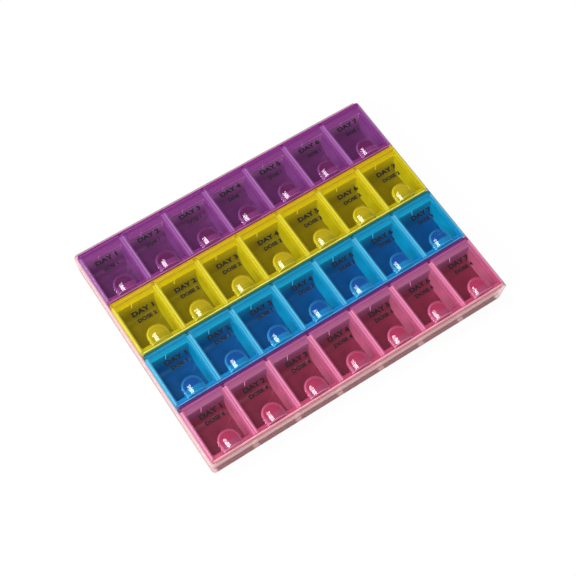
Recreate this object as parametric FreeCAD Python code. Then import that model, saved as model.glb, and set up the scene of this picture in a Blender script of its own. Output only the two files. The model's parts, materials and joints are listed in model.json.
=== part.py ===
import FreeCAD, Part
import math
import os

from FreeCAD import Vector

# Weekly pill organizer: a clear tray with four lift-out strips of seven lidded compartments.
# Lengths in millimetres. X runs along a strip, Y from the front strip to the back one, Z up.
# The origin is the centre of the tray's underside.

# Grid of compartments
column_count = 7
row_names = ("purple", "yellow", "blue", "pink")
column_pitch = 24.0
row_pitch = 31.8
row_gap = 0.4
lid_gap = 0.4

# Strip: a deck with one bucket hung under it for each compartment
strip_height = 13.0
deck_thickness = 2.2
deck_corner_radius = 2.0
divider_width = 3.4
front_ledge = 3.1
back_ledge = 5.3
bucket_wall = 1.0
bucket_floor = 1.0
bucket_draft = 0.8
bucket_corner_cut = 1.2
cell_back_radius = 6.5
front_lip_thickness = 0.65

# Hinge: each lid's bar snaps into a round groove under the strip's back rail
hinge_bar_radius = 0.7
hinge_running_clearance = 0.05
hinge_web_thickness = 0.4
rail_wall = 0.4
rail_lip_angle = 120
rail_end_wall = 0.8
bar_end_gap = 1.6

# Lid
lid_thickness = 1.2
lid_front_slit = 0.4
rail_swing_clearance = 0.2
skirt_height = 1.0
skirt_wall = 0.9
skirt_clearance = 0.3

# Raised thumb hood at the front of each lid
hood_width = 10.8
hood_top_width = 6.4
hood_length = 9.6
hood_height = 2.4
hood_wall = 0.9
hood_facets = 8

# Tray
tray_height = 13.2
tray_floor = 1.2
tray_wall = 1.3
tray_clearance = 0.35
tray_draft = 1.1
tray_corner_radius = 3.0
tray_foot_chamfer = 0.8
low_wall_drop = 1.2
low_wall_reach = 2.4

# How far a cutting shape runs past the face that it cuts
overrun = 1.0

# Sizes that follow from those above
row_count = len(row_names)
strip_length = column_count * column_pitch
strip_depth = row_pitch - row_gap
strip_front = -strip_depth / 2
strip_back = strip_depth / 2
cell_width = column_pitch - divider_width
cell_front = strip_front + front_ledge
cell_back = strip_back - back_ledge
strip_base_z = tray_floor
deck_z = strip_base_z + strip_height
lid_top_z = deck_z + lid_thickness
groove_radius = hinge_bar_radius + hinge_running_clearance
rail_radius = groove_radius + rail_wall
hinge_y = strip_back - rail_radius
hinge_z = deck_z + hinge_web_thickness / 2
lid_front = strip_front + front_lip_thickness + lid_front_slit
tray_half_x = strip_length / 2 + tray_clearance + tray_wall
tray_half_y = (row_count * row_pitch - row_gap) / 2 + tray_clearance + tray_wall


def box_between(x_low, x_high, y_low, y_high, z_low, z_high):
    """A box given by its two opposite corners."""
    return Part.makeBox(
        x_high - x_low, y_high - y_low, z_high - z_low, Vector(x_low, y_low, z_low)
    )


def upright_edges(block, y_limit):
    """The edges that climb from a block's foot to its top, in front of the given y."""
    box = block.BoundBox
    return [
        edge
        for edge in block.Edges
        if edge.BoundBox.ZLength > box.ZLength / 2 and edge.CenterOfMass.y < y_limit
    ]


def tapered_block(x_half, y_low, y_high, z_low, z_high, side_run, front_run, back_run):
    """A block of flat faces that is full size at its top and drawn in at its foot."""
    wedge = Part.makeWedge(
        -x_half + side_run,
        z_low,
        -y_high + back_run,
        -y_high,
        -x_half,
        x_half - side_run,
        z_high,
        -y_low - front_run,
        -y_low,
        x_half,
    )
    wedge.rotate(Vector(0, 0, 0), Vector(1, 0, 0), 90)
    return wedge


def prism_along_x(edges, x_low, x_high):
    """A prism from a closed outline in the YZ plane."""
    face = Part.Face(Part.Wire(edges))
    face.translate(Vector(x_low, 0, 0))
    return face.extrude(Vector(x_high - x_low, 0, 0))


def polyline(points):
    """The edges that join the given points in order."""
    return [Part.makeLine(start, end) for start, end in zip(points, points[1:])]


def scoop_prism(x_half, y_low, y_high, radius, z_low, z_high):
    """A prism whose lower back edge is one large arc, which a fingertip can sweep clean."""
    centre = Vector(0, y_high - radius, z_low + radius)
    slant = radius * math.sqrt(0.5)
    foot_back = Vector(0, centre.y, z_low)
    arc_end = Vector(0, y_high, centre.z)
    arc = Part.Arc(foot_back, centre + Vector(0, slant, -slant), arc_end).toShape()
    rest = [
        arc_end,
        Vector(0, y_high, z_high),
        Vector(0, y_low, z_high),
        Vector(0, y_low, z_low),
        foot_back,
    ]
    return prism_along_x([arc] + polyline(rest), -x_half, x_half)


def bucket_form(wall, z_low, z_high):
    """A tapered cell with a curved back: its hollow, where wall is zero, or its outside."""
    slope = bucket_draft / strip_height
    at_top = slope * (z_high - deck_z)
    run = slope * (z_high - z_low)
    x_half = cell_width / 2 + wall + at_top
    y_low = cell_front - wall - at_top
    y_high = cell_back + wall
    block = tapered_block(x_half, y_low, y_high, z_low, z_high, run, run, 0)
    if wall > 0:
        block = block.makeChamfer(bucket_corner_cut, upright_edges(block, 0))
    scoop = scoop_prism(
        x_half + overrun,
        y_low - overrun,
        y_high,
        cell_back_radius + wall,
        z_low,
        z_high,
    )
    return block.common(scoop)


def column_places():
    """The x of each column's centre."""
    first = -(column_count - 1) / 2 * column_pitch
    return [first + index * column_pitch for index in range(column_count)]


def about_hinge(radius, angle):
    """A point at a radius from the hinge axis, at an angle in degrees above the way to the front."""
    turn = math.radians(angle)
    return Vector(0, hinge_y - radius * math.cos(turn), hinge_z + radius * math.sin(turn))


def deck_stock():
    """The deck's section run along the strip: front lip, flat deck and a half-round back rail."""
    under = deck_z - deck_thickness
    rail_front = about_hinge(rail_radius, 0)
    rail_back = about_hinge(rail_radius, 180)
    over = Part.Arc(rail_front, about_hinge(rail_radius, 90), rail_back).toShape()
    rest = [
        rail_back,
        Vector(0, strip_back, under),
        Vector(0, strip_front, under),
        Vector(0, strip_front, lid_top_z),
        Vector(0, strip_front + front_lip_thickness, lid_top_z),
        Vector(0, strip_front + front_lip_thickness, deck_z),
        Vector(0, rail_front.y, deck_z),
        rail_front,
    ]
    half_length = strip_length / 2
    stock = prism_along_x([over] + polyline(rest), -half_length, half_length)
    block = box_between(
        -half_length, half_length, strip_front, strip_back, under, lid_top_z + overrun
    )
    rounded = block.makeFillet(deck_corner_radius, upright_edges(block, strip_back + overrun))
    return stock.common(rounded)


def hinge_pocket():
    """The groove for the hinge bars and the open sector above it, through which the lids swing."""
    mouth_angle = -math.degrees(math.asin((hinge_z - deck_z) / groove_radius))
    mouth = about_hinge(groove_radius, mouth_angle)
    lip = about_hinge(groove_radius, rail_lip_angle)
    lip_outside = about_hinge(rail_radius + overrun, rail_lip_angle)
    front_y = hinge_y - rail_radius - overrun
    groove = Part.Arc(mouth, about_hinge(groove_radius, -90), lip).toShape()
    rest = [
        lip,
        lip_outside,
        Vector(0, front_y, lip_outside.z),
        Vector(0, front_y, deck_z),
        mouth,
    ]
    half_length = strip_length / 2 - rail_end_wall
    return prism_along_x([groove] + polyline(rest), -half_length, half_length)


def strip():
    """One lift-out strip, centred on the Z axis: deck, back rail, front lip and buckets."""
    bucket = bucket_form(bucket_wall, strip_base_z, deck_z - deck_thickness / 2)
    hollow = bucket_form(0, strip_base_z + bucket_floor, deck_z + overrun)
    buckets = [bucket.translated(Vector(x, 0, 0)) for x in column_places()]
    hollows = [hollow.translated(Vector(x, 0, 0)) for x in column_places()]
    deck = deck_stock().cut(hinge_pocket())
    return deck.fuse(buckets).cut(hollows).removeSplitter()


def arch_outline(half_width, y_centre, z):
    """The corners of an arch in plan: straight legs to the front and a faceted half-round back end."""
    front_y = lid_front - overrun
    turns = [math.pi * index / hood_facets for index in range(hood_facets + 1)]
    back_end = [
        Vector(half_width * math.cos(turn), y_centre + half_width * math.sin(turn), z)
        for turn in turns
    ]
    return [Vector(half_width, front_y, z)] + back_end + [Vector(-half_width, front_y, z)]


def arched_taper(half_width_low, half_width_high, z_low, z_high, y_centre):
    """A tapered hood form of flat facets, running forward past the lid's front edge."""
    low = arch_outline(half_width_low, y_centre, z_low)
    high = arch_outline(half_width_high, y_centre, z_high)
    outlines = [low, high]
    for index in range(len(low)):
        outlines.append([low[index - 1], low[index], high[index], high[index - 1]])
    faces = [Part.Face(Part.makePolygon(points + points[:1])) for points in outlines]
    shell = Part.Shell(faces)
    shell.sewShape()
    return Part.Solid(shell)


def thumb_hood():
    """The raised hood and the hollow under it, whose mouth lets a fingernail lift the lid."""
    half_width = hood_width / 2
    top_half_width = hood_top_width / 2
    slope = (half_width - top_half_width) / hood_height
    y_centre = lid_front + hood_length - half_width
    hood_top_z = lid_top_z + hood_height
    outside = arched_taper(half_width, top_half_width, lid_top_z, hood_top_z, y_centre)
    side_offset = hood_wall * math.hypot(1, slope)
    roof_z = hood_top_z - hood_wall
    start_z = deck_z - skirt_height / 2
    wide = half_width - side_offset + slope * (lid_top_z - start_z)
    narrow = half_width - side_offset - slope * (roof_z - lid_top_z)
    inside = arched_taper(wide, narrow, start_z, roof_z, y_centre)
    return outside, inside


def skirt():
    """The shallow frame under a lid that drops into the cell's mouth and holds the lid shut."""
    x_half = cell_width / 2 - skirt_clearance
    y_low = cell_front + skirt_clearance
    y_high = cell_back - skirt_clearance
    z_low = deck_z - skirt_height
    ring = box_between(-x_half, x_half, y_low, y_high, z_low, deck_z)
    middle = box_between(
        -x_half + skirt_wall,
        x_half - skirt_wall,
        y_low + skirt_wall,
        y_high - skirt_wall,
        z_low,
        deck_z,
    )
    return ring.cut(middle)


def lid():
    """One lid, closed over the column at x = 0: plate, hinge bar, skirt and thumb hood."""
    half_width = (column_pitch - lid_gap) / 2
    bar_half_length = (column_pitch - bar_end_gap) / 2
    plate_back = hinge_y - rail_radius - rail_swing_clearance
    plate = box_between(
        -half_width, half_width, lid_front, plate_back, deck_z, lid_top_z
    )
    web = box_between(
        -bar_half_length,
        bar_half_length,
        plate_back,
        hinge_y,
        deck_z,
        deck_z + hinge_web_thickness,
    )
    bar = Part.makeCylinder(
        hinge_bar_radius,
        2 * bar_half_length,
        Vector(-bar_half_length, hinge_y, hinge_z),
        Vector(1, 0, 0),
    )
    outside, inside = thumb_hood()
    front_limit = box_between(
        -half_width, half_width, lid_front, hinge_y, deck_z, lid_top_z + hood_height
    )
    body = plate.fuse([web, bar, outside.common(front_limit)]).cut(inside)
    return body.fuse(skirt()).removeSplitter()


def tray_form(inset, z_low, z_high):
    """The tray's tapered outside with inset zero, or its hollow with the wall as inset."""
    run = tray_draft * (z_high - z_low) / tray_height
    block = tapered_block(
        tray_half_x - inset,
        -tray_half_y + inset,
        tray_half_y - inset,
        z_low,
        z_high,
        run,
        run,
        run,
    )
    return block.makeFillet(
        tray_corner_radius - inset, upright_edges(block, tray_half_y + overrun)
    )


def tray():
    """The clear tray: drafted walls, rounded corners and a lower wall at the right."""
    outside = tray_form(0, 0, tray_height)
    foot_edges = [edge for edge in outside.Edges if edge.BoundBox.ZMax < tray_floor]
    outside = outside.makeChamfer(tray_foot_chamfer, foot_edges)
    low_wall_z = tray_height - low_wall_drop
    low_wall = box_between(
        tray_half_x - low_wall_reach,
        tray_half_x + overrun,
        -tray_half_y + tray_wall,
        tray_half_y + overrun,
        low_wall_z,
        tray_height + overrun,
    )
    rim_end = Part.makeCylinder(
        tray_wall / 2,
        low_wall_drop + overrun,
        Vector(tray_half_x - low_wall_reach, tray_half_y - tray_wall / 2, low_wall_z),
    )
    inside = tray_form(tray_wall, tray_floor, tray_height)
    return outside.cut(inside).cut(low_wall.cut(rim_end)).removeSplitter()


def save(shape, node):
    """Write one node's solid as its own STEP file."""
    if not shape.isValid() or len(shape.Solids) != 1:
        raise ValueError(f"{node} is not one valid solid")
    shape.Solids[0].exportStep(os.path.join("parts", f"{node}.step"))


def main():
    os.makedirs("parts", exist_ok=True)
    save(tray(), "tray")
    strip_shape = strip()
    lid_shape = lid()
    back_row_y = (row_count - 1) / 2 * row_pitch
    for row, colour in enumerate(row_names):
        y = back_row_y - row * row_pitch
        save(strip_shape.translated(Vector(0, y, 0)), f"{colour}_strip")
        for column, x in enumerate(column_places(), start=1):
            save(lid_shape.translated(Vector(x, y, 0)), f"{colour}_lid_{column}")


main()
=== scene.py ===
import json
import math

import bmesh
import bpy
import numpy as np
from mathutils import Euler, Matrix, Vector


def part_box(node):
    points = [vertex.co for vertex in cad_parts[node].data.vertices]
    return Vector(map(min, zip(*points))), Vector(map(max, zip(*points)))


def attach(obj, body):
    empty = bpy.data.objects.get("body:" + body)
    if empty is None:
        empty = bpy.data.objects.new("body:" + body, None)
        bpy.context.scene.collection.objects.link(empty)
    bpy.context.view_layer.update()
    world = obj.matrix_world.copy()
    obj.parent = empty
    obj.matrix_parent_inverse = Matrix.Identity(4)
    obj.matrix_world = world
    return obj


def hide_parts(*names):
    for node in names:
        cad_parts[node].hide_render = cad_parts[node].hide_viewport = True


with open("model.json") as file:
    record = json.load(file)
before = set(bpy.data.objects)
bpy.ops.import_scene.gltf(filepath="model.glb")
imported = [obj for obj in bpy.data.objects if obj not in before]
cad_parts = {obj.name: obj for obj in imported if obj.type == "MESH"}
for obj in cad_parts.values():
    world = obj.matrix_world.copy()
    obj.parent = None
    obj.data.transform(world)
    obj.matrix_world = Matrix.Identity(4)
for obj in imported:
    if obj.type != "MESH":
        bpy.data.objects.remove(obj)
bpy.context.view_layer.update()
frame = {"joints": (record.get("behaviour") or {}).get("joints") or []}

# Weekly pill organizer: a clear tray with four lift-out strips of seven lidded compartments.
# Lengths are in metres and written as a number of millimetres times MM.
MM = 0.001
merge_distance = 0.002 * MM
sharp_angle = math.radians(34)

# Rows from back to front, and the columns of each
row_names = ("purple", "yellow", "blue", "pink")
columns = range(1, 8)

# Strip, measured from the centre of its own column and row. The buckets' front wall is thicker than
# in the solids, and the feet of the lip and the rail are set in from the deck's edge.
deck_thickness = 2.2 * MM
divider_width = 3.4 * MM
front_ledge = 3.1 * MM
back_ledge = 5.3 * MM
deck_corner = 2.0 * MM
bucket_wall = 1.0 * MM
bucket_front_wall = 2.3 * MM
bucket_floor = 1.0 * MM
bucket_draft = 0.8 * MM
bucket_corner = 1.4 * MM
foot_chamfer_share = 0.03
cell_corner = 1.0 * MM
cell_back_radius = 6.5 * MM
cell_edge_radius = 0.3 * MM
strip_height = 13.0 * MM
lip_thickness = 0.65 * MM
lip_edge_radius = 0.2 * MM
foot_inset = 0.1 * MM

# Hinge
bar_radius = 0.7 * MM
groove_radius = 0.75 * MM
rail_radius = 1.15 * MM
web_thickness = 0.4 * MM
rail_lip_angle = math.radians(120)
rail_end_wall = 0.8 * MM
bar_inset = 0.6 * MM

# Lid, whose rest gap keeps its underside from sharing a plane with the deck
lid_thickness = 1.2 * MM
lid_edge_radius = 0.3 * MM
swing_clearance = 0.2 * MM
skirt_height = 1.0 * MM
skirt_wall = 0.9 * MM
skirt_clearance = 0.3 * MM
hood_half_width = 5.4 * MM
hood_length = 9.6 * MM
hood_height = 2.4 * MM
hood_flank_height = 1.0 * MM
hood_flank_width = 1.1 * MM
hood_wall = 0.9 * MM
hood_inner_fade = 0.5 * MM
hood_line_margin = 0.3 * MM
plain_x_lines = [7 * MM, 8.4 * MM]
plain_y_reach = (-3 * MM, 8 * MM)
line_pair_gap = 0.02 * MM
rest_gap = 0.02 * MM

# Gate mark, a short raised line on each lid where the plastic was let into the mould. Its light
# colour is the cut edges' painted glow, a small painted highlight.
gate_size = np.array([0.3, 2.4]) * MM
gate_place = np.array([-3.05, 9.0]) * MM
gate_turn = math.radians(30)
gate_corner = 0.1 * MM
gate_sunk = 0.02 * MM
gate_height = 0.05 * MM

# Colour bands of a lid, each with how far past its own edge it starts and how wide its fade is. The
# cut edges, the hood's flank and the rim carry a painted glow, and the hood's mouth painted light.
side_edge_band = (0.5 * MM, 0.7 * MM)
left_edge_shift = 0.2 * MM
end_edge_band = (0.2 * MM, 0.4 * MM)
end_edge_share = 0.35
hood_band = (-0.1 * MM, 0.3 * MM)
flank_band = (-1.2 * MM, 0.5 * MM)
mouth_band = (2.9 * MM, 0.5 * MM)
web_band = (-0.4 * MM, 0.3 * MM)
rim_band = (0.02 * MM, 0.1 * MM)

# Tray, whose wall is a little thicker than in the solids. Its colour bands follow the foot, the rim
# and the inner foot. The far sides' band, of painted shade, goes by the larger of a corner point's
# cosine and sine, which is 1 along the right side and the back.
tray_floor = 1.2 * MM
tray_wall = 1.5 * MM
tray_draft = 1.1 * MM
tray_corner = 3.0 * MM
tray_foot_chamfer = 0.8 * MM
tray_rim_radius = 0.35 * MM
low_wall_drop = 1.2 * MM
low_wall_reach = 2.4 * MM
least_tray_corner = 0.4 * MM
foot_band_width = 1.5 * MM
foot_band_height = 2.0 * MM
wall_top_depth = 2.2 * MM
rim_band_depth = 1.4 * MM
inner_foot_height = 1.0 * MM
inner_foot_width = 0.6 * MM
floor_band_width = 3.0 * MM
far_side_band = (0.45, 0.45)

# Colour bands of a strip: heights on the scooped back and on the front face, over which painted
# shade gives way to lighter colour, distances from the row's middle on the deck, over which it
# turns from front to deck with painted light lifting its back, depths below the deck's top and how
# far the grain shifts them, distances in front of the cells, and the half width of the change at
# the rail, whose darker colour is partly painted shade
scoop_band = (3 * MM, 12 * MM)
front_face_band = (9.5 * MM, 11.0 * MM)
deck_band = (-13 * MM, 8 * MM)
deck_edge_band = (0.35 * MM, 0.05 * MM)
deck_edge_grain = 0.3 * MM
ledge_band = (0.3 * MM, 0.1 * MM)
rail_band = 0.1 * MM

# Colour bands of the tray's floor along its front, where the buckets' shade is painted, with
# painted
# light below the dividers: distance from the front, height, half length, and distance from the line
# below a divider
margin_band = (4.2 * MM, 4.6 * MM)
margin_height_band = (1.3 * MM, 1.7 * MM)
margin_length_band = (81 * MM, 83 * MM)
divider_band = (1.0 * MM, 2.0 * MM)

# Surface grain: repeats per metre and the depth that it presses in
lid_grain_scale = 260.0
lid_grain_depth = 0.004 * MM
strip_grain_scale = 900.0
strip_grain_depth = 0.01 * MM
tray_grain_scale = 120.0
tray_grain_depth = 0.03 * MM
ink_grain_scale = 1500.0

# Print on the lids: the letters' depth and weight before they are fitted, the lines' sizes, and by
# row their middle, each line's distance from the row's back edge, and the dose line's width
letter_depth = 0.01
letter_weight = 0.045
day_height = 2.6 * MM
day_width = 12.0 * MM
dose_height = 2.1 * MM
print_thickness = 0.03 * MM
print_places = {
    "purple": {"middle": -0.4 * MM, "day": 8.2 * MM, "dose": 13.2 * MM, "dose_width": 7.5 * MM},
    "yellow": {"middle": 0.6 * MM, "day": 9.9 * MM, "dose": 14.5 * MM, "dose_width": 10.2 * MM},
    "blue": {"middle": 0.7 * MM, "day": 8.3 * MM, "dose": 12.3 * MM, "dose_width": 8.8 * MM},
    "pink": {"middle": 0.2 * MM, "day": 8.5 * MM, "dose": 12.8 * MM, "dose_width": 10.4 * MM},
}

# Camera, lamps and floor. The floor lies a little below the tray, so that they share no plane, and
# is mostly plain white to the camera.
camera_place = Vector((-166.0, -232.3, 571.6)) * MM
camera_turn = [math.radians(angle) for angle in (26.317, -0.971, -33.480)]
camera_lens = 79.7
lamp_distance = 1.8
lamps = {
    "softbox": {"direction": (-0.30, 0.35, 0.885), "size": (0.66, 0.47), "power": 15.0},
    "fill": {"direction": (-0.10, -0.55, 0.83), "size": (1.2, 1.0), "power": 12.0},
    "side": {"direction": (-0.80, -0.10, 0.59), "size": (0.8, 0.8), "power": 17.0},
}
world_strength = 0.30
lens_clip = 0.01
floor_size = 4.0
floor_drop = 0.15 * MM
floor_plain_share = 0.94

# Colours in linear light. A lid has its tint for one crossing, its body, its hood, its cut edges
# and its web; its cut edges' lighter colour is painted glow. A strip has its deck, which turns into
# front towards its front edge, with painted light lifting the deck's back, its side walls, painted
# lighter, its scooped back and its floor, painted darker towards the floor as shade, its rail,
# partly painted shade, and its lip. A lid's hood takes front at its mouth, as painted light from
# the lit ledge seen through it, and its bar takes rail. The cut edges glow a little: a painted
# glow, by their colour and a weak emission.
plastic_colours = {
    "purple": {
        "tint": (0.93, 0.80, 0.93), "body": (0.25, 0.060, 0.24), "hood": (0.16, 0.003, 0.089),
        "edge": (0.44, 0.16, 0.49), "deck": (0.32, 0.086, 0.29), "front": (0.29, 0.041, 0.22),
        "wall": (0.37, 0.17, 0.40), "back": (0.70, 0.49, 0.66), "floor": (0.14, 0.044, 0.13),
        "rail": (0.30, 0.020, 0.27), "web": (0.22, 0.032, 0.22), "lip": (0.36, 0.09, 0.24),
    },
    "yellow": {
        "tint": (0.98, 0.96, 0.60), "body": (0.50, 0.40, 0.010), "hood": (0.81, 0.63, 0.010),
        "edge": (0.80, 0.72, 0.028), "deck": (0.66, 0.53, 0.005), "front": (0.49, 0.41, 0.002),
        "wall": (0.71, 0.68, 0.054), "back": (0.64, 0.55, 0.18), "floor": (0.19, 0.15, 0.002),
        "rail": (0.64, 0.39, 0.002), "web": (0.63, 0.45, 0.003), "lip": (0.66, 0.68, 0.10),
    },
    "blue": {
        "tint": (0.70, 0.93, 0.97), "body": (0.005, 0.15, 0.42), "hood": (0.002, 0.10, 0.47),
        "edge": (0.084, 0.55, 0.80), "deck": (0.003, 0.45, 0.57), "front": (0.002, 0.28, 0.62),
        "wall": (0.010, 0.54, 0.75), "back": (0.10, 0.41, 0.55), "floor": (0.002, 0.073, 0.26),
        "rail": (0.002, 0.16, 0.20), "web": (0.002, 0.30, 0.55), "lip": (0.070, 0.25, 0.60),
    },
    "pink": {
        "tint": (0.98, 0.86, 0.91), "body": (0.50, 0.080, 0.16), "hood": (0.70, 0.060, 0.19),
        "edge": (0.89, 0.29, 0.52), "deck": (0.35, 0.20, 0.37), "front": (0.48, 0.084, 0.19),
        "wall": (0.73, 0.29, 0.44), "back": (0.36, 0.25, 0.39), "floor": (0.20, 0.021, 0.055),
        "rail": (0.19, 0.016, 0.16), "web": (0.41, 0.11, 0.31), "lip": (0.78, 0.33, 0.39),
    },
}
# The tray's bucket colour is painted shade of the buckets seen through the front wall, its pale
# margin colour painted light in the gaps below the dividers, and its shade colour painted shade on
# the far edges
tray_colours = {
    "tint": (0.95, 0.86, 0.86), "body": (0.74, 0.44, 0.45), "edge": (0.84, 0.55, 0.57),
    "margin": (0.93, 0.52, 0.52), "bucket": (0.42, 0.05, 0.07), "shade": (0.04, 0.03, 0.04),
}
ink_colours = ((0.004, 0.004, 0.006), (0.012, 0.010, 0.013))
# Strength of the weak emission on the lids' cut sides, a painted glow
edge_glow = 0.15
ground_colour = (0.9, 0.9, 0.9)
white = (1.0, 1.0, 1.0)
black = (0.0, 0.0, 0.0)


class Number:
    """A shader value used in sums: each operator adds one Math node to its material."""

    def __init__(self, shader, socket):
        self.shader = shader
        self.socket = socket

    def maths(self, operation, *values):
        sockets = dict(enumerate(values))
        return self.shader.number("ShaderNodeMath", {"operation": operation}, sockets)

    def __add__(self, other):
        return self.maths("ADD", self, other)

    def __sub__(self, other):
        return self.maths("SUBTRACT", self, other)

    def __rsub__(self, other):
        return self.maths("SUBTRACT", other, self)

    def __mul__(self, other):
        return self.maths("MULTIPLY", self, other)

    def __truediv__(self, other):
        return self.maths("DIVIDE", self, other)

    __radd__ = __add__
    __rmul__ = __mul__

    def at_most(self, other):
        return self.maths("MINIMUM", self, other)

    def size(self):
        return self.maths("ABSOLUTE", self)

    def smooth(self, low, high):
        """0 below low, 1 above high, and an S-curve between."""
        settings = {"interpolation_type": "SMOOTHSTEP"}
        return self.shader.number(
            "ShaderNodeMapRange", settings, {"Value": self, "From Min": low, "From Max": high}
        )


class Shader:
    """The nodes of one material."""

    def __init__(self, name):
        self.material = bpy.data.materials.new(name)
        self.material.use_nodes = True
        self.nodes = self.material.node_tree.nodes
        self.nodes.clear()

    def node(self, kind, settings=None, values=None):
        """A node of that kind with its settings made first, then its sockets set or linked."""
        node = self.nodes.new(kind)
        for name, setting in (settings or {}).items():
            setattr(node, name, setting)
        for name, value in (values or {}).items():
            socket = node.inputs[name]
            source = value.socket if isinstance(value, Number) else value
            if isinstance(source, bpy.types.NodeSocket):
                self.material.node_tree.links.new(source, socket)
            elif isinstance(source, tuple) and len(source) < len(socket.default_value):
                socket.default_value = (*source, 1)
            else:
                socket.default_value = source
        return node

    def number(self, kind, settings=None, values=None, output=0):
        """A node's output, ready for sums."""
        return Number(self, self.node(kind, settings, values).outputs[output])

    def attribute(self, name):
        return self.number("ShaderNodeAttribute", {"attribute_name": name}, output="Fac")

    def place(self):
        """The Object coordinates, in metres."""
        return self.node("ShaderNodeTexCoord").outputs["Object"]

    def facing(self):
        """The surface's direction in the piece's own axes."""
        return self.node("ShaderNodeTexCoord").outputs["Normal"]

    def noise(self, scale, detail=2.0):
        values = {"Vector": self.place(), "Scale": scale, "Detail": detail}
        return self.number("ShaderNodeTexNoise", None, values)

    def mix_colours(self, share, first, second):
        """The first colour where share is 0 and the second where it is 1."""
        node = self.node("ShaderNodeMix", {"data_type": "RGBA"}, {0: share, 6: first, 7: second})
        return node.outputs[2]

    def bump(self, height, distance):
        values = {"Height": height, "Distance": distance, "Strength": 1.0}
        return self.node("ShaderNodeBump", None, values).outputs[0]

    def finish(self, surface):
        self.node("ShaderNodeOutputMaterial", None, {"Surface": surface.outputs[0]})
        return self.material


def lid_material(colour):
    """Clear coloured plastic: a tint for what shows through, and a body denser at hood and edges.

    The hood is densest along its mouth, where it takes the deck front's colour: painted light,
    standing in for the lit front ledge seen through the hood. The cut sides and the hood's flank
    take a lighter colour, and the cut sides a weak emission: a painted glow, standing in for light
    that gathers in clear coloured plastic and leaves at its edges.
    """
    colours = plastic_colours[colour]
    shader = Shader(f"{colour}_lid_plastic")
    ripple = shader.noise(lid_grain_scale)
    edge = shader.attribute("edge")
    hood = shader.attribute("hood")
    flank = shader.attribute("flank")
    # Painted glow: the cut edges and, less, the hood's flank take the lighter edge colour
    glow = (edge + 0.45 * flank).at_most(1.0)
    mouth = hood * shader.attribute("mouth")
    haze = 0.04 + 0.235 * hood + 0.18 * mouth + 0.62 * glow + 0.03 * (ripple - 0.5)
    bar = shader.attribute("bar")
    inner = shader.mix_colours(hood, colours["body"], colours["hood"])
    # Painted light: the hood's mouth takes the deck front's colour, as the lit ledge seen through
    # it
    inner = shader.mix_colours(mouth, inner, colours["front"])
    plate = shader.mix_colours(glow, inner, colours["edge"])
    # The bar takes the rail's darker colour, which is partly painted shade
    hinge = shader.mix_colours(shader.attribute("web"), colours["rail"], colours["web"])
    values = {
        "Base Color": shader.mix_colours(bar, plate, hinge),
        "Roughness": 0.06 + 0.03 * ripple + 0.42 * glow + 0.12 * bar,
        "IOR": 1.5,
        "Coat Weight": 1.0 - (glow + bar).at_most(1.0),
        "Coat Roughness": 0.05,
        # Painted glow: a weak emission on the cut sides, where the rim mask is 1
        "Emission Color": shader.mix_colours(shader.attribute("rim"), black, colours["edge"]),
        "Emission Strength": edge_glow,
        "Normal": shader.bump(ripple, lid_grain_depth),
    }
    solid = shader.node("ShaderNodeBsdfPrincipled", None, values)
    clear = shader.node("ShaderNodeBsdfTransparent", None, {"Color": colours["tint"]})
    values = {0: (haze + 0.8 * bar).at_most(1.0), 1: clear.outputs[0], 2: solid.outputs[0]}
    return shader.finish(shader.node("ShaderNodeMixShader", None, values))


def strip_material(colour):
    """Coloured plastic: bright deck and walls, a greyer scooped back, a deep floor, dense rail.

    The walls' brightness and the deck's lift at its back are painted light; the floor's darkness,
    the outer front face's dark lower part and part of the rail's darkness are painted shade.
    """
    colours = plastic_colours[colour]
    shader = Shader(f"{colour}_strip_plastic")
    place = shader.node("ShaderNodeSeparateXYZ", None, {0: shader.place()})
    height = Number(shader, place.outputs["Z"])
    along = Number(shader, place.outputs["Y"]) - row_y[colour]
    facing = shader.node("ShaderNodeSeparateXYZ", None, {0: shader.facing()})
    # Painted light: faces that look sideways, the cell's side walls, take the bright wall colour
    side_light_share = Number(shader, facing.outputs["X"]).size().smooth(0.70, 0.92)
    grain = shader.noise(strip_grain_scale, 4.0)
    # Painted shade: the cell darkens from its scooped back down to its floor
    scoop = shader.mix_colours(height.smooth(*scoop_band), colours["floor"], colours["back"])
    cell = shader.mix_colours(side_light_share, scoop, colours["wall"])
    edge_low, edge_high = (deck_z - depth for depth in deck_edge_band)
    above = (height + deck_edge_grain * grain).smooth(edge_low, edge_high)
    # Painted light lifts the deck at its back, where it turns from front to deck colour
    forward = 1.0 - along.smooth(*deck_band)
    deck = shader.mix_colours(forward, colours["deck"], colours["front"])
    open_part = shader.mix_colours(above, cell, deck)
    ledge_low, ledge_high = (cell_front - distance for distance in ledge_band)
    # Painted shade: the strip's outer front face is dark below its top
    outside = (1.0 - along.smooth(ledge_low, ledge_high)) * (1.0 - above)
    front_share = height.smooth(*front_face_band)
    front_face = shader.mix_colours(front_share, colours["floor"], colours["lip"])
    open_part = shader.mix_colours(outside, open_part, front_face)
    # The rail's darker colour is partly painted shade
    behind = along.smooth(lid_back - rail_band, lid_back + rail_band)
    with_rail = shader.mix_colours(behind, open_part, colours["rail"])
    values = {
        "Base Color": shader.mix_colours(shader.attribute("lip"), with_rail, colours["lip"]),
        "Roughness": 0.36 + 0.10 * grain,
        "Coat Weight": 0.1,
        "Normal": shader.bump(grain, strip_grain_depth),
    }
    return shader.finish(shader.node("ShaderNodeBsdfPrincipled", None, values))


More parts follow.
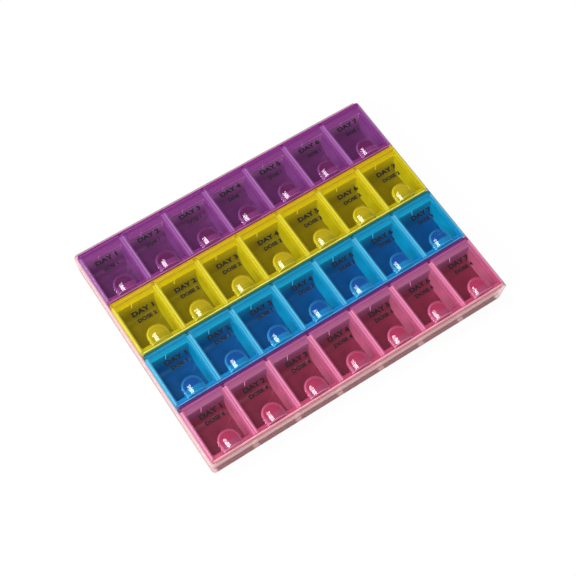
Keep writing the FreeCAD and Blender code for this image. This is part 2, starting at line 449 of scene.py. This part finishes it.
def tray_material():
    """Clear plastic with a rosy cast, denser at rim and foot and dark on its far edges.

    The floor's front margin carries a painted shade of the buckets above it, seen through the front
    wall as a dark band, with painted light in the pale gaps below the dividers. The dark far edges
    are painted shade.
    """
    colours = tray_colours
    shader = Shader("tray_plastic")
    ripple = shader.noise(tray_grain_scale)
    edge = shader.attribute("edge")
    shade = shader.attribute("shade")
    place = shader.node("ShaderNodeSeparateXYZ", None, {0: shader.place()})
    x, y, z = (Number(shader, place.outputs[axis]) for axis in "XYZ")
    # Painted shade of the buckets on the floor's front margin, broken by painted light below the
    # dividers
    margin_low, margin_high = (tray_low.y + distance for distance in margin_band)
    margin = (1.0 - y.smooth(margin_low, margin_high)) * (1.0 - z.smooth(*margin_height_band))
    margin = margin * (1.0 - x.size().smooth(*margin_length_band))
    column = x / column_pitch + 0.5
    from_divider = column.maths("PINGPONG", column, 0.5) * column_pitch
    bucket = margin * from_divider.smooth(*divider_band)
    haze = 0.20 + 0.35 * edge + 0.45 * shade + 0.50 * margin + 0.25 * bucket + 0.06 * (ripple - 0.5)
    clear_part = shader.mix_colours(edge, colours["body"], colours["edge"])
    clear_part = shader.mix_colours(margin, clear_part, colours["margin"])
    clear_part = shader.mix_colours(bucket, clear_part, colours["bucket"])
    values = {
        # The far edges' dark colour is painted shade
        "Base Color": shader.mix_colours(shade, clear_part, colours["shade"]),
        "Roughness": 0.12 + 0.08 * ripple,
        "Specular IOR Level": 0.2,
        "Coat Weight": 0.3 * (1.0 - shade),
        "Normal": shader.bump(ripple, tray_grain_depth),
    }
    solid = shader.node("ShaderNodeBsdfPrincipled", None, values)
    clear = shader.node("ShaderNodeBsdfTransparent", None, {"Color": colours["tint"]})
    values = {0: haze.at_most(1.0), 1: clear.outputs[0], 2: solid.outputs[0]}
    return shader.finish(shader.node("ShaderNodeMixShader", None, values))


def ink_material():
    """Black print with a slightly uneven film."""
    shader = Shader("print_ink")
    grain = shader.noise(ink_grain_scale)
    values = {
        "Base Color": shader.mix_colours(grain, *ink_colours),
        "Roughness": 0.55 + 0.2 * grain,
        "Specular IOR Level": 0.2,
    }
    return shader.finish(shader.node("ShaderNodeBsdfPrincipled", None, values))


def floor_material():
    """White ground: plain white to the camera and to reflections, with part of the real shading."""
    shader = Shader("white_ground")
    path = shader.node("ShaderNodeLightPath")
    kinds = ("Camera", "Glossy", "Transmission")
    camera, glossy, passed = (Number(shader, path.outputs[f"Is {kind} Ray"]) for kind in kinds)
    share = floor_plain_share * (camera + glossy + passed).at_most(1.0)
    values = {"Base Color": ground_colour, "Roughness": 0.9}
    ground = shader.node("ShaderNodeBsdfPrincipled", None, values)
    plain = shader.node("ShaderNodeEmission", None, {"Color": white, "Strength": 1.0})
    values = {0: share, 1: ground.outputs[0], 2: plain.outputs[0]}
    return shader.finish(shader.node("ShaderNodeMixShader", None, values))


def smooth_step(value):
    """0 below 0, 1 above 1, and 3v^2 - 2v^3 between."""
    v = np.clip(value, 0, 1)
    return v * v * (3 - 2 * v)


def band(value, start, fade):
    """An S-curve from 0 to 1 that begins fade[0] past the start and is fade[1] wide."""
    return smooth_step((value - start - fade[0]) / fade[1])


def quarter_drop(distance, radius):
    """How far a quarter-round edge has dropped at a distance from it: r - sqrt(r^2 - (r-d)^2)."""
    inward = np.clip(radius - distance, 0, radius)
    return radius - np.sqrt(radius**2 - inward**2)


def grid_quads(rows, count, closed):
    """The quads of a grid of points, where a closed row's last point joins its first."""
    along = np.arange(count if closed else count - 1)
    first = np.arange(rows - 1)[:, None] * count + along
    second = np.arange(rows - 1)[:, None] * count + (along + 1) % count
    return np.stack([first, second, second + count, first + count], axis=-1).reshape(-1, 4)


def loft(outlines, heights):
    """A closed form: rings of points at their heights, and a fan to the middle at each end."""
    rings = [
        np.column_stack([ring, np.broadcast_to(z, len(ring))]) for ring, z in zip(outlines, heights)
    ]
    count = len(rings[0])
    points = np.vstack(rings + [rings[0].mean(axis=0), rings[-1].mean(axis=0)])
    quads = grid_quads(len(rings), count, True)
    here = np.arange(count)
    after = (here + 1) % count
    last = (len(rings) - 1) * count
    low_fan = np.column_stack([after, here, np.full(count, len(points) - 2)])
    high_fan = np.column_stack([last + here, last + after, np.full(count, len(points) - 1)])
    return points, [quads, low_fan, high_fan]


def rounded_rectangle(x_low, x_high, y_low, y_high, radii, steps=6):
    """A rectangle anticlockwise from its back right corner, with quarter-round corners.

    A corner's points are its centre plus r(cos t, sin t).
    """
    radii = np.broadcast_to(radii, 4)[:, None]
    turn = np.linspace(0, math.pi / 2, steps) + np.arange(4)[:, None] * math.pi / 2
    x_corner = np.array([x_high, x_low, x_low, x_high])[:, None]
    y_corner = np.array([y_high, y_high, y_low, y_low])[:, None]
    x_centre = x_corner + radii * np.array([-1, 1, 1, -1])[:, None]
    y_centre = y_corner + radii * np.array([-1, -1, 1, 1])[:, None]
    return np.column_stack(
        [(x_centre + radii * np.cos(turn)).ravel(), (y_centre + radii * np.sin(turn)).ravel()]
    )


def extruded(outline, x_low, x_high):
    """A prism along X: an outline of (y, z) points at two places, which may vary along it."""
    ends = [
        np.column_stack([np.broadcast_to(x, len(outline)), outline]) for x in (x_low, x_high)
    ]
    count = len(outline)
    caps = [np.arange(count)[None, ::-1], np.arange(count)[None] + count]
    return np.vstack(ends), [grid_quads(2, count, True), *caps]


def moved(part, x, y):
    """A part's points shifted in the plane."""
    return part[0] + np.array([x, y, 0]), *part[1:]


def make_piece(name, parts, material, body, attributes=None):
    """One mesh from parts of (points, faces), with doubled points merged, riding on its body."""
    points, faces, start = [], [], 0
    for part_points, part_faces in parts:
        points.append(part_points)
        for group in part_faces:
            faces.extend((group + start).tolist())
        start += len(part_points)
    mesh = bpy.data.meshes.new(name)
    mesh.from_pydata(np.vstack(points), [], faces)
    for key, values in (attributes or {}).items():
        layer = mesh.attributes.new(key, "FLOAT", "POINT")
        layer.data.foreach_set("value", values.astype(np.float32))
    work = bmesh.new()
    work.from_mesh(mesh)
    bmesh.ops.remove_doubles(work, verts=work.verts, dist=merge_distance)
    work.to_mesh(mesh)
    work.free()
    mesh.shade_smooth()
    mesh.set_sharp_from_angle(angle=sharp_angle)
    mesh.materials.append(material)
    piece = bpy.data.objects.new(name, mesh)
    bpy.context.scene.collection.objects.link(piece)
    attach(piece, body)
    return piece


# Places that follow from the frame
lid_low, lid_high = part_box("purple_lid_1")
strip_low, strip_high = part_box("purple_strip")
tray_low, tray_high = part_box("tray")
hinges = {joint["child"]: joint["pos_m"] for joint in frame["joints"] if joint["type"] == "hinge"}
hinge_z = hinges["purple_lid_1"][2]
deck_z = hinge_z - web_thickness / 2
lid_top_z = deck_z + lid_thickness
row_y = {name: sum((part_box(f"{name}_strip")[k].y for k in (0, 1))) / 2 for name in row_names}
column_x = [hinges[f"purple_lid_{column}"][0] for column in columns]
column_pitch = column_x[1] - column_x[0]
strip_half = (strip_high.x - strip_low.x) / 2
half_depth = (strip_high.y - strip_low.y) / 2
strip_base_z = strip_low.z
hinge_y = hinges["purple_lid_1"][1] - row_y["purple"]
lid_half = (lid_high.x - lid_low.x) / 2
lid_front = lid_low.y - row_y["purple"]
lid_back = hinge_y - rail_radius - swing_clearance
cell_half = (column_pitch - divider_width) / 2
cell_front = -half_depth + front_ledge
cell_back = half_depth - back_ledge


def cell_outline(wall, z, corner):
    """A cell's section at a height: drafted sides and front, and a back that follows one large arc.

    With h the height above the floor and R the arc's radius, the back stands
    R - sqrt(R^2 - (R-h)^2) in front of the straight back wall. The outside's front wall is thicker
    than its other walls.
    """
    slope = bucket_draft / strip_height
    drawn_in = slope * (deck_z - z)
    floor_z = strip_base_z if wall else strip_base_z + bucket_floor
    back_drop = quarter_drop(z - floor_z, cell_back_radius + wall)
    x_half = cell_half + wall - drawn_in
    front = cell_front - (bucket_front_wall if wall else 0) + drawn_in
    return rounded_rectangle(-x_half, x_half, front, cell_back + wall - back_drop, corner)


def strip_tile(index):
    """One column of a strip: bucket, deck and cell in one closed form from foot to cell floor."""
    under_z = deck_z - deck_thickness
    first, last = index == 0, index == len(column_x) - 1
    radii = np.array([last, first, first, last]) * deck_corner
    half = column_pitch / 2
    tile = rounded_rectangle(-half, half, -half_depth, half_depth, radii)
    turns = np.linspace(0, math.pi / 2, 9)
    outer_z = strip_base_z + (cell_back_radius + bucket_wall) * (1 - np.cos(turns))
    inner_z = strip_base_z + bucket_floor + cell_back_radius * (1 - np.cos(turns[::-1]))
    foot = cell_outline(bucket_wall, strip_base_z, bucket_corner)
    outlines = [foot + (foot.mean(axis=0) - foot) * foot_chamfer_share]
    heights = [strip_base_z]
    for z in [*outer_z[1:], under_z]:
        outlines.append(cell_outline(bucket_wall, z, bucket_corner))
        heights.append(z)
    outlines += [tile, tile]
    heights += [under_z, deck_z]
    for turn in np.linspace(0, math.pi / 2, 4):
        ring = cell_outline(0, deck_z, cell_corner)
        middle = ring.mean(axis=0)
        spread = 1 + cell_edge_radius * (1 - math.sin(turn)) / cell_half
        outlines.append((ring - middle) * spread + middle)
        heights.append(deck_z - cell_edge_radius * (1 - math.cos(turn)))
    for z in inner_z:
        outlines.append(cell_outline(0, z, cell_corner))
        heights.append(z)
    return moved(loft(outlines, heights), column_x[index], 0)


def front_lip():
    """The thin wall along a strip's front edge, with rounded ends and a rounded top."""
    turn_start = math.asin((deck_corner - lip_thickness) / deck_corner)
    turn = np.linspace(turn_start, math.pi / 2, 7)
    outlines, heights = [], []
    levels = [
        (foot_inset, deck_z - deck_thickness / 2),
        (0, deck_z),
        (0, lid_top_z - lip_edge_radius),
    ]
    levels += [
        (lip_edge_radius * (1 - math.cos(t)), lid_top_z - lip_edge_radius * (1 - math.sin(t)))
        for t in (math.pi / 6, math.pi / 3, math.pi / 2)
    ]
    for inset, z in levels:
        radius = deck_corner - inset
        x = strip_half - deck_corner + radius * np.cos(turn)
        y = -half_depth + deck_corner - radius * np.sin(turn)
        y[0] -= inset
        outlines.append(np.vstack([np.column_stack([x, y])[::-1], np.column_stack([-x, y])])[::-1])
        heights.append(z)
    return loft(outlines, heights)


def around_hinge(radius, angle):
    """Points (y, z) at a radius from the hinge axis, at angles above the way to the front."""
    return np.column_stack([hinge_y - radius * np.cos(angle), hinge_z + radius * np.sin(angle)])


def rail_ends(outline):
    """Half the rail's length at each outline point: it follows the strip's rounded back corners."""
    beyond = np.clip(outline[:, 0] - (half_depth - deck_corner), 0, deck_corner)
    return strip_half - deck_corner + np.sqrt(deck_corner**2 - beyond**2)


def back_rail():
    """The rail along a strip's back: a half-round with a groove for the bars, shut at its ends."""
    under_z = deck_z - deck_thickness / 2
    mouth = -math.asin((hinge_z - deck_z) / groove_radius)
    groove = around_hinge(groove_radius, np.linspace(mouth, rail_lip_angle - math.tau, 22))
    over = around_hinge(rail_radius, np.linspace(rail_lip_angle, math.pi, 7))
    foot = np.array([[half_depth - foot_inset, under_z], [hinge_y - rail_radius, under_z]])
    front = np.array([[hinge_y - rail_radius, deck_z]])
    grooved = np.vstack([groove, over, foot, front])
    cover = around_hinge(rail_radius, np.linspace(0, math.pi, 14))
    full = np.vstack([cover, foot])
    inner = strip_half - rail_end_wall
    middle_ends = np.minimum(rail_ends(grooved), inner)
    parts = [extruded(grooved, -middle_ends, middle_ends)]
    full_ends = rail_ends(full)
    start = np.minimum(full_ends, inner)
    parts.append(extruded(full, start, np.maximum(full_ends, start)))
    parts.append(extruded(full, -np.maximum(full_ends, start), -start))
    return parts


def make_strip(colour, material):
    """One coloured strip, in place of its solid."""
    tiles = [strip_tile(index) for index in range(len(column_x))]
    rails = back_rail()
    parts = [moved(part, 0, row_y[colour]) for part in [*tiles, front_lip(), *rails]]
    counts = [len(points) for points, _ in parts]
    kinds = np.repeat(np.arange(len(parts)) - len(tiles), counts)
    attributes = {"lip": (kinds == 0).astype(float)}
    name = f"{colour}_strip"
    piece = make_piece(f"{name}_moulding", parts, material, name, attributes)
    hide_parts(name)


def lid_lines():
    """The grid lines of a lid: even lines, close together at the edges, the hood and the skirt."""
    edge = lid_edge_radius * np.array([0, 0.12, 0.4, 1])
    skirt_lines = np.array([-line_pair_gap, 0, skirt_wall, skirt_wall + line_pair_gap])
    skirt_x = cell_half - skirt_clearance - skirt_lines
    hood_x = np.linspace(0, hood_half_width + hood_line_margin, 20)
    half = np.concatenate([hood_x, skirt_x, lid_half - edge, plain_x_lines])
    across = np.unique(np.concatenate([-half, half]).round(8))
    hood_y = lid_front + np.array([lid_edge_radius, hood_length + hood_line_margin])
    hood_y = np.linspace(*hood_y, 34)
    skirt_y = np.concatenate([
        cell_front + skirt_clearance + skirt_lines,
        cell_back - skirt_clearance - skirt_lines,
    ])
    plain_y = np.linspace(*plain_y_reach, 8)
    plate_y = np.concatenate([lid_front + edge, hood_y, skirt_y, plain_y, lid_back - edge])
    turn = np.linspace(-math.pi / 2, math.pi / 2, 11)
    bar_y = hinge_y + bar_radius * np.sin(turn)
    web_y = lid_back + line_pair_gap
    along = np.unique(np.concatenate([plate_y, [web_y], bar_y]).round(8))
    return across, along


def gate_mark():
    """The gate mark: a rounded bar turned in the plane, x cos t + y sin t and y cos t - x sin t."""
    half_width, half_length = gate_size / 2
    outline = rounded_rectangle(
        -half_width, half_width, -half_length, half_length, gate_corner, steps=3
    )
    cos, sin = math.cos(gate_turn), math.sin(gate_turn)
    placed = outline @ np.array([[cos, -sin], [sin, cos]]) + gate_place
    return loft([placed, placed], [lid_top_z - gate_sunk, lid_top_z + gate_height])


def hood_rise(radius):
    """The hood's height at a distance from its spine: a soft flank step plus a low parabola."""
    step = hood_flank_height * smooth_step((hood_half_width - radius) / hood_flank_width)
    reach = hood_half_width - hood_flank_width / 2
    crown = (hood_height - hood_flank_height) * (1 - (radius / reach) ** 2)
    return step + np.clip(crown, 0, None)


def lid_surface():
    """A closed lid: two height fields on one grid, its top and its underside, with a common rim.

    The plate's top drops by a quarter round at its edges and rises over the thumb hood. The
    underside drops by the skirt's height in a rectangular ring, and rises under the hood. Behind
    the plate both follow the hinge web and then the bar's circle: z = hinge z +- sqrt(r^2 - y^2),
    with y measured from the hinge. The gate mark is a form of its own on top.
    """
    across, along = lid_lines()
    behind = along > lid_back + line_pair_gap / 2
    half = np.where(behind, lid_half - bar_inset, lid_half)
    x = across[None, :] / lid_half * half[:, None]
    y = np.repeat(along[:, None], len(across), axis=1)

    to_edge = np.minimum(lid_half - np.abs(x), np.minimum(y - lid_front, lid_back - y))
    spine_end = lid_front + hood_length - hood_half_width
    from_spine = np.hypot(x, np.clip(y - spine_end, 0, None))
    rise = hood_rise(from_spine)
    drop = quarter_drop(to_edge, lid_edge_radius)
    top = lid_top_z + rise - drop

    inner_reach = hood_half_width - hood_wall
    hollow = (lid_thickness - hood_wall + rise) * smooth_step(
        (inner_reach - from_spine) / hood_inner_fade
    )
    under_hood = from_spine < hood_half_width - hood_wall / 2
    skirt_x = cell_half - skirt_clearance
    middle_y = (cell_front + cell_back) / 2
    skirt_y = (cell_back - cell_front) / 2 - skirt_clearance
    inside = np.minimum(skirt_x - np.abs(x), skirt_y - np.abs(y - middle_y))
    ring = (inside > -line_pair_gap / 2) & (inside < skirt_wall + line_pair_gap / 2) & ~under_hood
    under = deck_z + rest_gap + hollow - skirt_height * ring

    bar = np.sqrt(np.clip(bar_radius**2 - (y - hinge_y) ** 2, 0, None))
    web = np.where(y < hinge_y, web_thickness, 0)
    back_top = np.maximum(hinge_z + bar, deck_z + web)
    back_under = np.minimum(hinge_z - bar, np.where(y < hinge_y, deck_z + rest_gap, hinge_z))
    top = np.where(behind[:, None], back_top, top)
    under = np.where(behind[:, None], back_under, under)

    rows, count = x.shape
    points = np.vstack([
        np.column_stack([x.ravel(), y.ravel(), top.ravel()]),
        np.column_stack([x.ravel(), y.ravel(), under.ravel()]),
    ])
    lower = rows * count
    index = np.arange(lower).reshape(rows, count)
    rim = np.concatenate([index[0, :-1], index[:-1, -1], index[-1, :0:-1], index[:0:-1, 0]])
    following = np.roll(rim, -1)
    top_quads = grid_quads(rows, count, False)
    rim_quads = np.column_stack([following, rim, rim + lower, following + lower])
    faces = [top_quads, top_quads[:, ::-1] + lower, rim_quads]

    masks = lid_masks(x, y, from_spine, behind)
    gate = gate_mark()
    attributes = {}
    for name, mask in masks.items():
        # The gate mark takes the cut edges' painted glow colour in full, a small painted highlight
        gate_values = np.full(len(gate[0]), float(name == "edge"))
        attributes[name] = np.concatenate([np.tile(mask.ravel(), 2), gate_values])
    return [(points, faces), gate], attributes


def lid_masks(x, y, from_spine, behind):
    """Where a lid's colours go, from 0 to 1 at each grid point, with S-curves between.

    Its cut edges and the hood's flank, which take a painted glow, the hood with its mouth, which
    takes painted light, the hinge bar with its web, and the rim that takes a painted glow by
    emission.
    """
    to_side = lid_half - np.abs(x)
    to_ends = np.minimum(y - lid_front, lid_back - y)
    plate = 1 - np.broadcast_to(behind[:, None], x.shape).astype(float)
    side_edge = 1 - band(to_side + left_edge_shift * (x < 0), 0, side_edge_band)
    end_edge = 1 - band(to_ends, 0, end_edge_band)
    hood = band(hood_half_width - from_spine, 0, hood_band)
    return {
        "edge": np.maximum(side_edge, end_edge_share * end_edge) * plate,
        "flank": band(from_spine, hood_half_width, flank_band) * hood,
        "hood": hood,
        "bar": 1 - plate,
        "mouth": 1 - band(y, lid_front, mouth_band),
        "web": 1 - band(y, hinge_y, web_band),
        "rim": (1 - band(to_side, 0, rim_band)) * plate,
    }


def make_lid(colour, column, surface, attributes, material):
    """One lid, in place of its solid."""
    name = f"{colour}_lid_{column}"
    parts = [moved(part, column_x[column - 1], row_y[colour]) for part in surface]
    piece = make_piece(f"{name}_moulding", parts, material, name, attributes)
    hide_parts(name)


def printed_line(name, text, size, centre, material, body):
    """A line of block letters, fitted to its width and height and laid on the lid's top face."""
    curve = bpy.data.curves.new(name, "FONT")
    curve.body = text
    curve.extrude = letter_depth
    curve.offset = letter_weight
    curve.resolution_u = 3
    source = bpy.data.objects.new(name, curve)
    bpy.context.scene.collection.objects.link(source)
    bpy.context.view_layer.update()
    evaluated = source.evaluated_get(bpy.context.evaluated_depsgraph_get())
    mesh = bpy.data.meshes.new_from_object(evaluated)
    bpy.data.objects.remove(source)
    points = np.empty(len(mesh.vertices) * 3)
    mesh.vertices.foreach_get("co", points)
    points = points.reshape(-1, 3)
    low, high = points.min(axis=0), points.max(axis=0)
    target = np.array([*size, print_thickness])
    fitted = (points - (low + high) / 2) / (high - low) * target + np.array(centre)
    mesh.vertices.foreach_set("co", fitted.ravel())
    mesh.materials.clear()
    mesh.materials.append(material)
    piece = bpy.data.objects.new(name, mesh)
    bpy.context.scene.collection.objects.link(piece)
    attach(piece, body)


def label_lid(colour, row, column, material):
    """The day's number and the dose's number on one lid."""
    body = f"{colour}_lid_{column}"
    places = print_places[colour]
    x = column_x[column - 1] + places["middle"]
    z = lid_top_z + print_thickness / 3
    back = row_y[colour] + half_depth
    for kind, text, width, height in (
        ("day", f"DAY {column}", day_width, day_height),
        ("dose", f"DOSE {row}", places["dose_width"], dose_height),
    ):
        centre = (x, back - places[kind] - height / 2, z)
        printed_line(f"{body}_{kind}", text, (width, height), centre, material, body)


def make_tray(material):
    """The clear tray, in place of its solid: rings up the outside, over the rim and down inside.

    With z the height and h the tray's, the drafted wall stands draft (1 - z/h) inside its rim. The
    rim's outer edge on the right and at the back is marked for painted shade, a darker colour.
    """
    x_half = -tray_low.x
    y_half = -tray_low.y
    height = tray_high.z
    corner_steps = 12

    def ring(inset):
        return rounded_rectangle(
            -x_half + inset, x_half - inset, -y_half + inset, y_half - inset,
            max(tray_corner - inset, least_tray_corner), corner_steps,
        )

    def inset_at(z):
        return tray_draft * (1 - z / height)

    outer = ring(0)
    low_side = (outer[:, 0] > x_half - low_wall_reach) & (outer[:, 1] > -y_half + tray_wall)
    rim_z = height - low_wall_drop * low_side
    turn = np.linspace(0, math.pi / 2, corner_steps) + np.arange(4)[:, None] * math.pi / 2
    # Painted shade on the rim's outer rounding, along the far sides
    far_side = band(np.maximum(np.cos(turn), np.sin(turn)).ravel(), 0, far_side_band)
    outlines, heights, edges, shades = [], [], [], []

    def add(inset, z, edge, shade=0.0):
        outlines.append(ring(inset))
        heights.append(z)
        edges.append(edge)
        shades.append(shade)

    foot = tray_draft + tray_foot_chamfer
    add(foot + foot_band_width, 0, 0.3)
    add(foot, 0, 0.6)
    add(inset_at(tray_foot_chamfer), tray_foot_chamfer, 0.5)
    add(inset_at(foot_band_height), foot_band_height, 0.1)
    add(inset_at(height - wall_top_depth), rim_z - wall_top_depth, 0.0)
    add(inset_at(height - rim_band_depth), rim_z - rim_band_depth, 0.8, 0.6)
    for angle, shade in zip(np.linspace(0, math.pi / 2, 4), (1.0, 1.0, 1.0, 0.4)):
        drop = tray_rim_radius * (1 - math.sin(angle))
        add(tray_rim_radius * (1 - math.cos(angle)), rim_z - drop, 1.0, shade)
    for angle in np.linspace(math.pi / 2, 0, 4):
        drop = tray_rim_radius * (1 - math.sin(angle))
        add(tray_wall - tray_rim_radius * (1 - math.cos(angle)), rim_z - drop, 1.0)
    add(tray_wall + inset_at(height - wall_top_depth), rim_z - wall_top_depth, 0.0)
    inner_foot_z = tray_floor + inner_foot_height
    add(tray_wall + inset_at(inner_foot_z), inner_foot_z, 0.2)
    add(tray_wall + inset_at(tray_floor) + inner_foot_width, tray_floor, 0.3)
    add(tray_wall + inset_at(tray_floor) + floor_band_width, tray_floor, 0.0)
    part = loft(outlines, heights)
    attributes = {
        "edge": np.concatenate([np.repeat(edges, len(outer)), [0, 0]]),
        "shade": np.concatenate([np.outer(shades, far_side).ravel(), [0, 0]]),
    }
    piece = make_piece("tray_moulding", [part], material, "tray", attributes)
    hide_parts("tray")


def make_stage():
    """White ground, three area lamps, and a surround that the camera sees as plain white."""
    mesh = bpy.data.meshes.new("ground")
    half = floor_size / 2
    places = ((-half, -half), (half, -half), (half, half), (-half, half))
    mesh.from_pydata([(x, y, -floor_drop) for x, y in places], [], [(0, 1, 2, 3)])
    mesh.materials.append(floor_material())
    ground = bpy.data.objects.new("ground", mesh)
    bpy.context.scene.collection.objects.link(ground)

    for name, lamp in lamps.items():
        light = bpy.data.lights.new(name, "AREA")
        light.shape = "RECTANGLE"
        light.size, light.size_y = lamp["size"]
        light.energy = lamp["power"]
        away = Vector(lamp["direction"]).normalized()
        along = (Vector((1, 0, 0)) - away.x * away).normalized()
        holder = bpy.data.objects.new(name, light)
        holder.location = away * lamp_distance
        holder.rotation_euler = Matrix((along, away.cross(along), away)).transposed().to_euler()
        bpy.context.scene.collection.objects.link(holder)

    world = bpy.data.worlds.new("surround")
    world.use_nodes = True
    background = world.node_tree.nodes["Background"]
    path = world.node_tree.nodes.new("ShaderNodeLightPath")
    mix = world.node_tree.nodes.new("ShaderNodeMapRange")
    mix.inputs["To Min"].default_value = world_strength
    mix.inputs["To Max"].default_value = 1.0
    world.node_tree.links.new(path.outputs["Is Camera Ray"], mix.inputs["Value"])
    world.node_tree.links.new(mix.outputs[0], background.inputs["Strength"])
    background.inputs["Color"].default_value = (*white, 1.0)
    bpy.context.scene.world = world


def make_camera():
    """The camera at the photograph's place and angle."""
    lens = bpy.data.cameras.new("camera")
    lens.lens = camera_lens
    lens.clip_start = lens_clip
    camera = bpy.data.objects.new("camera", lens)
    camera.location = camera_place
    camera.rotation_euler = Euler(camera_turn)
    bpy.context.scene.collection.objects.link(camera)
    bpy.context.scene.camera = camera


make_stage()
make_camera()
bpy.context.scene.view_settings.view_transform = "Standard"

make_tray(tray_material())
ink = ink_material()
surface, attributes = lid_surface()
for row, colour in enumerate(row_names, start=1):
    make_strip(colour, strip_material(colour))
    lid_plastic = lid_material(colour)
    for column in columns:
        make_lid(colour, column, surface, attributes, lid_plastic)
        label_lid(colour, row, column, ink)
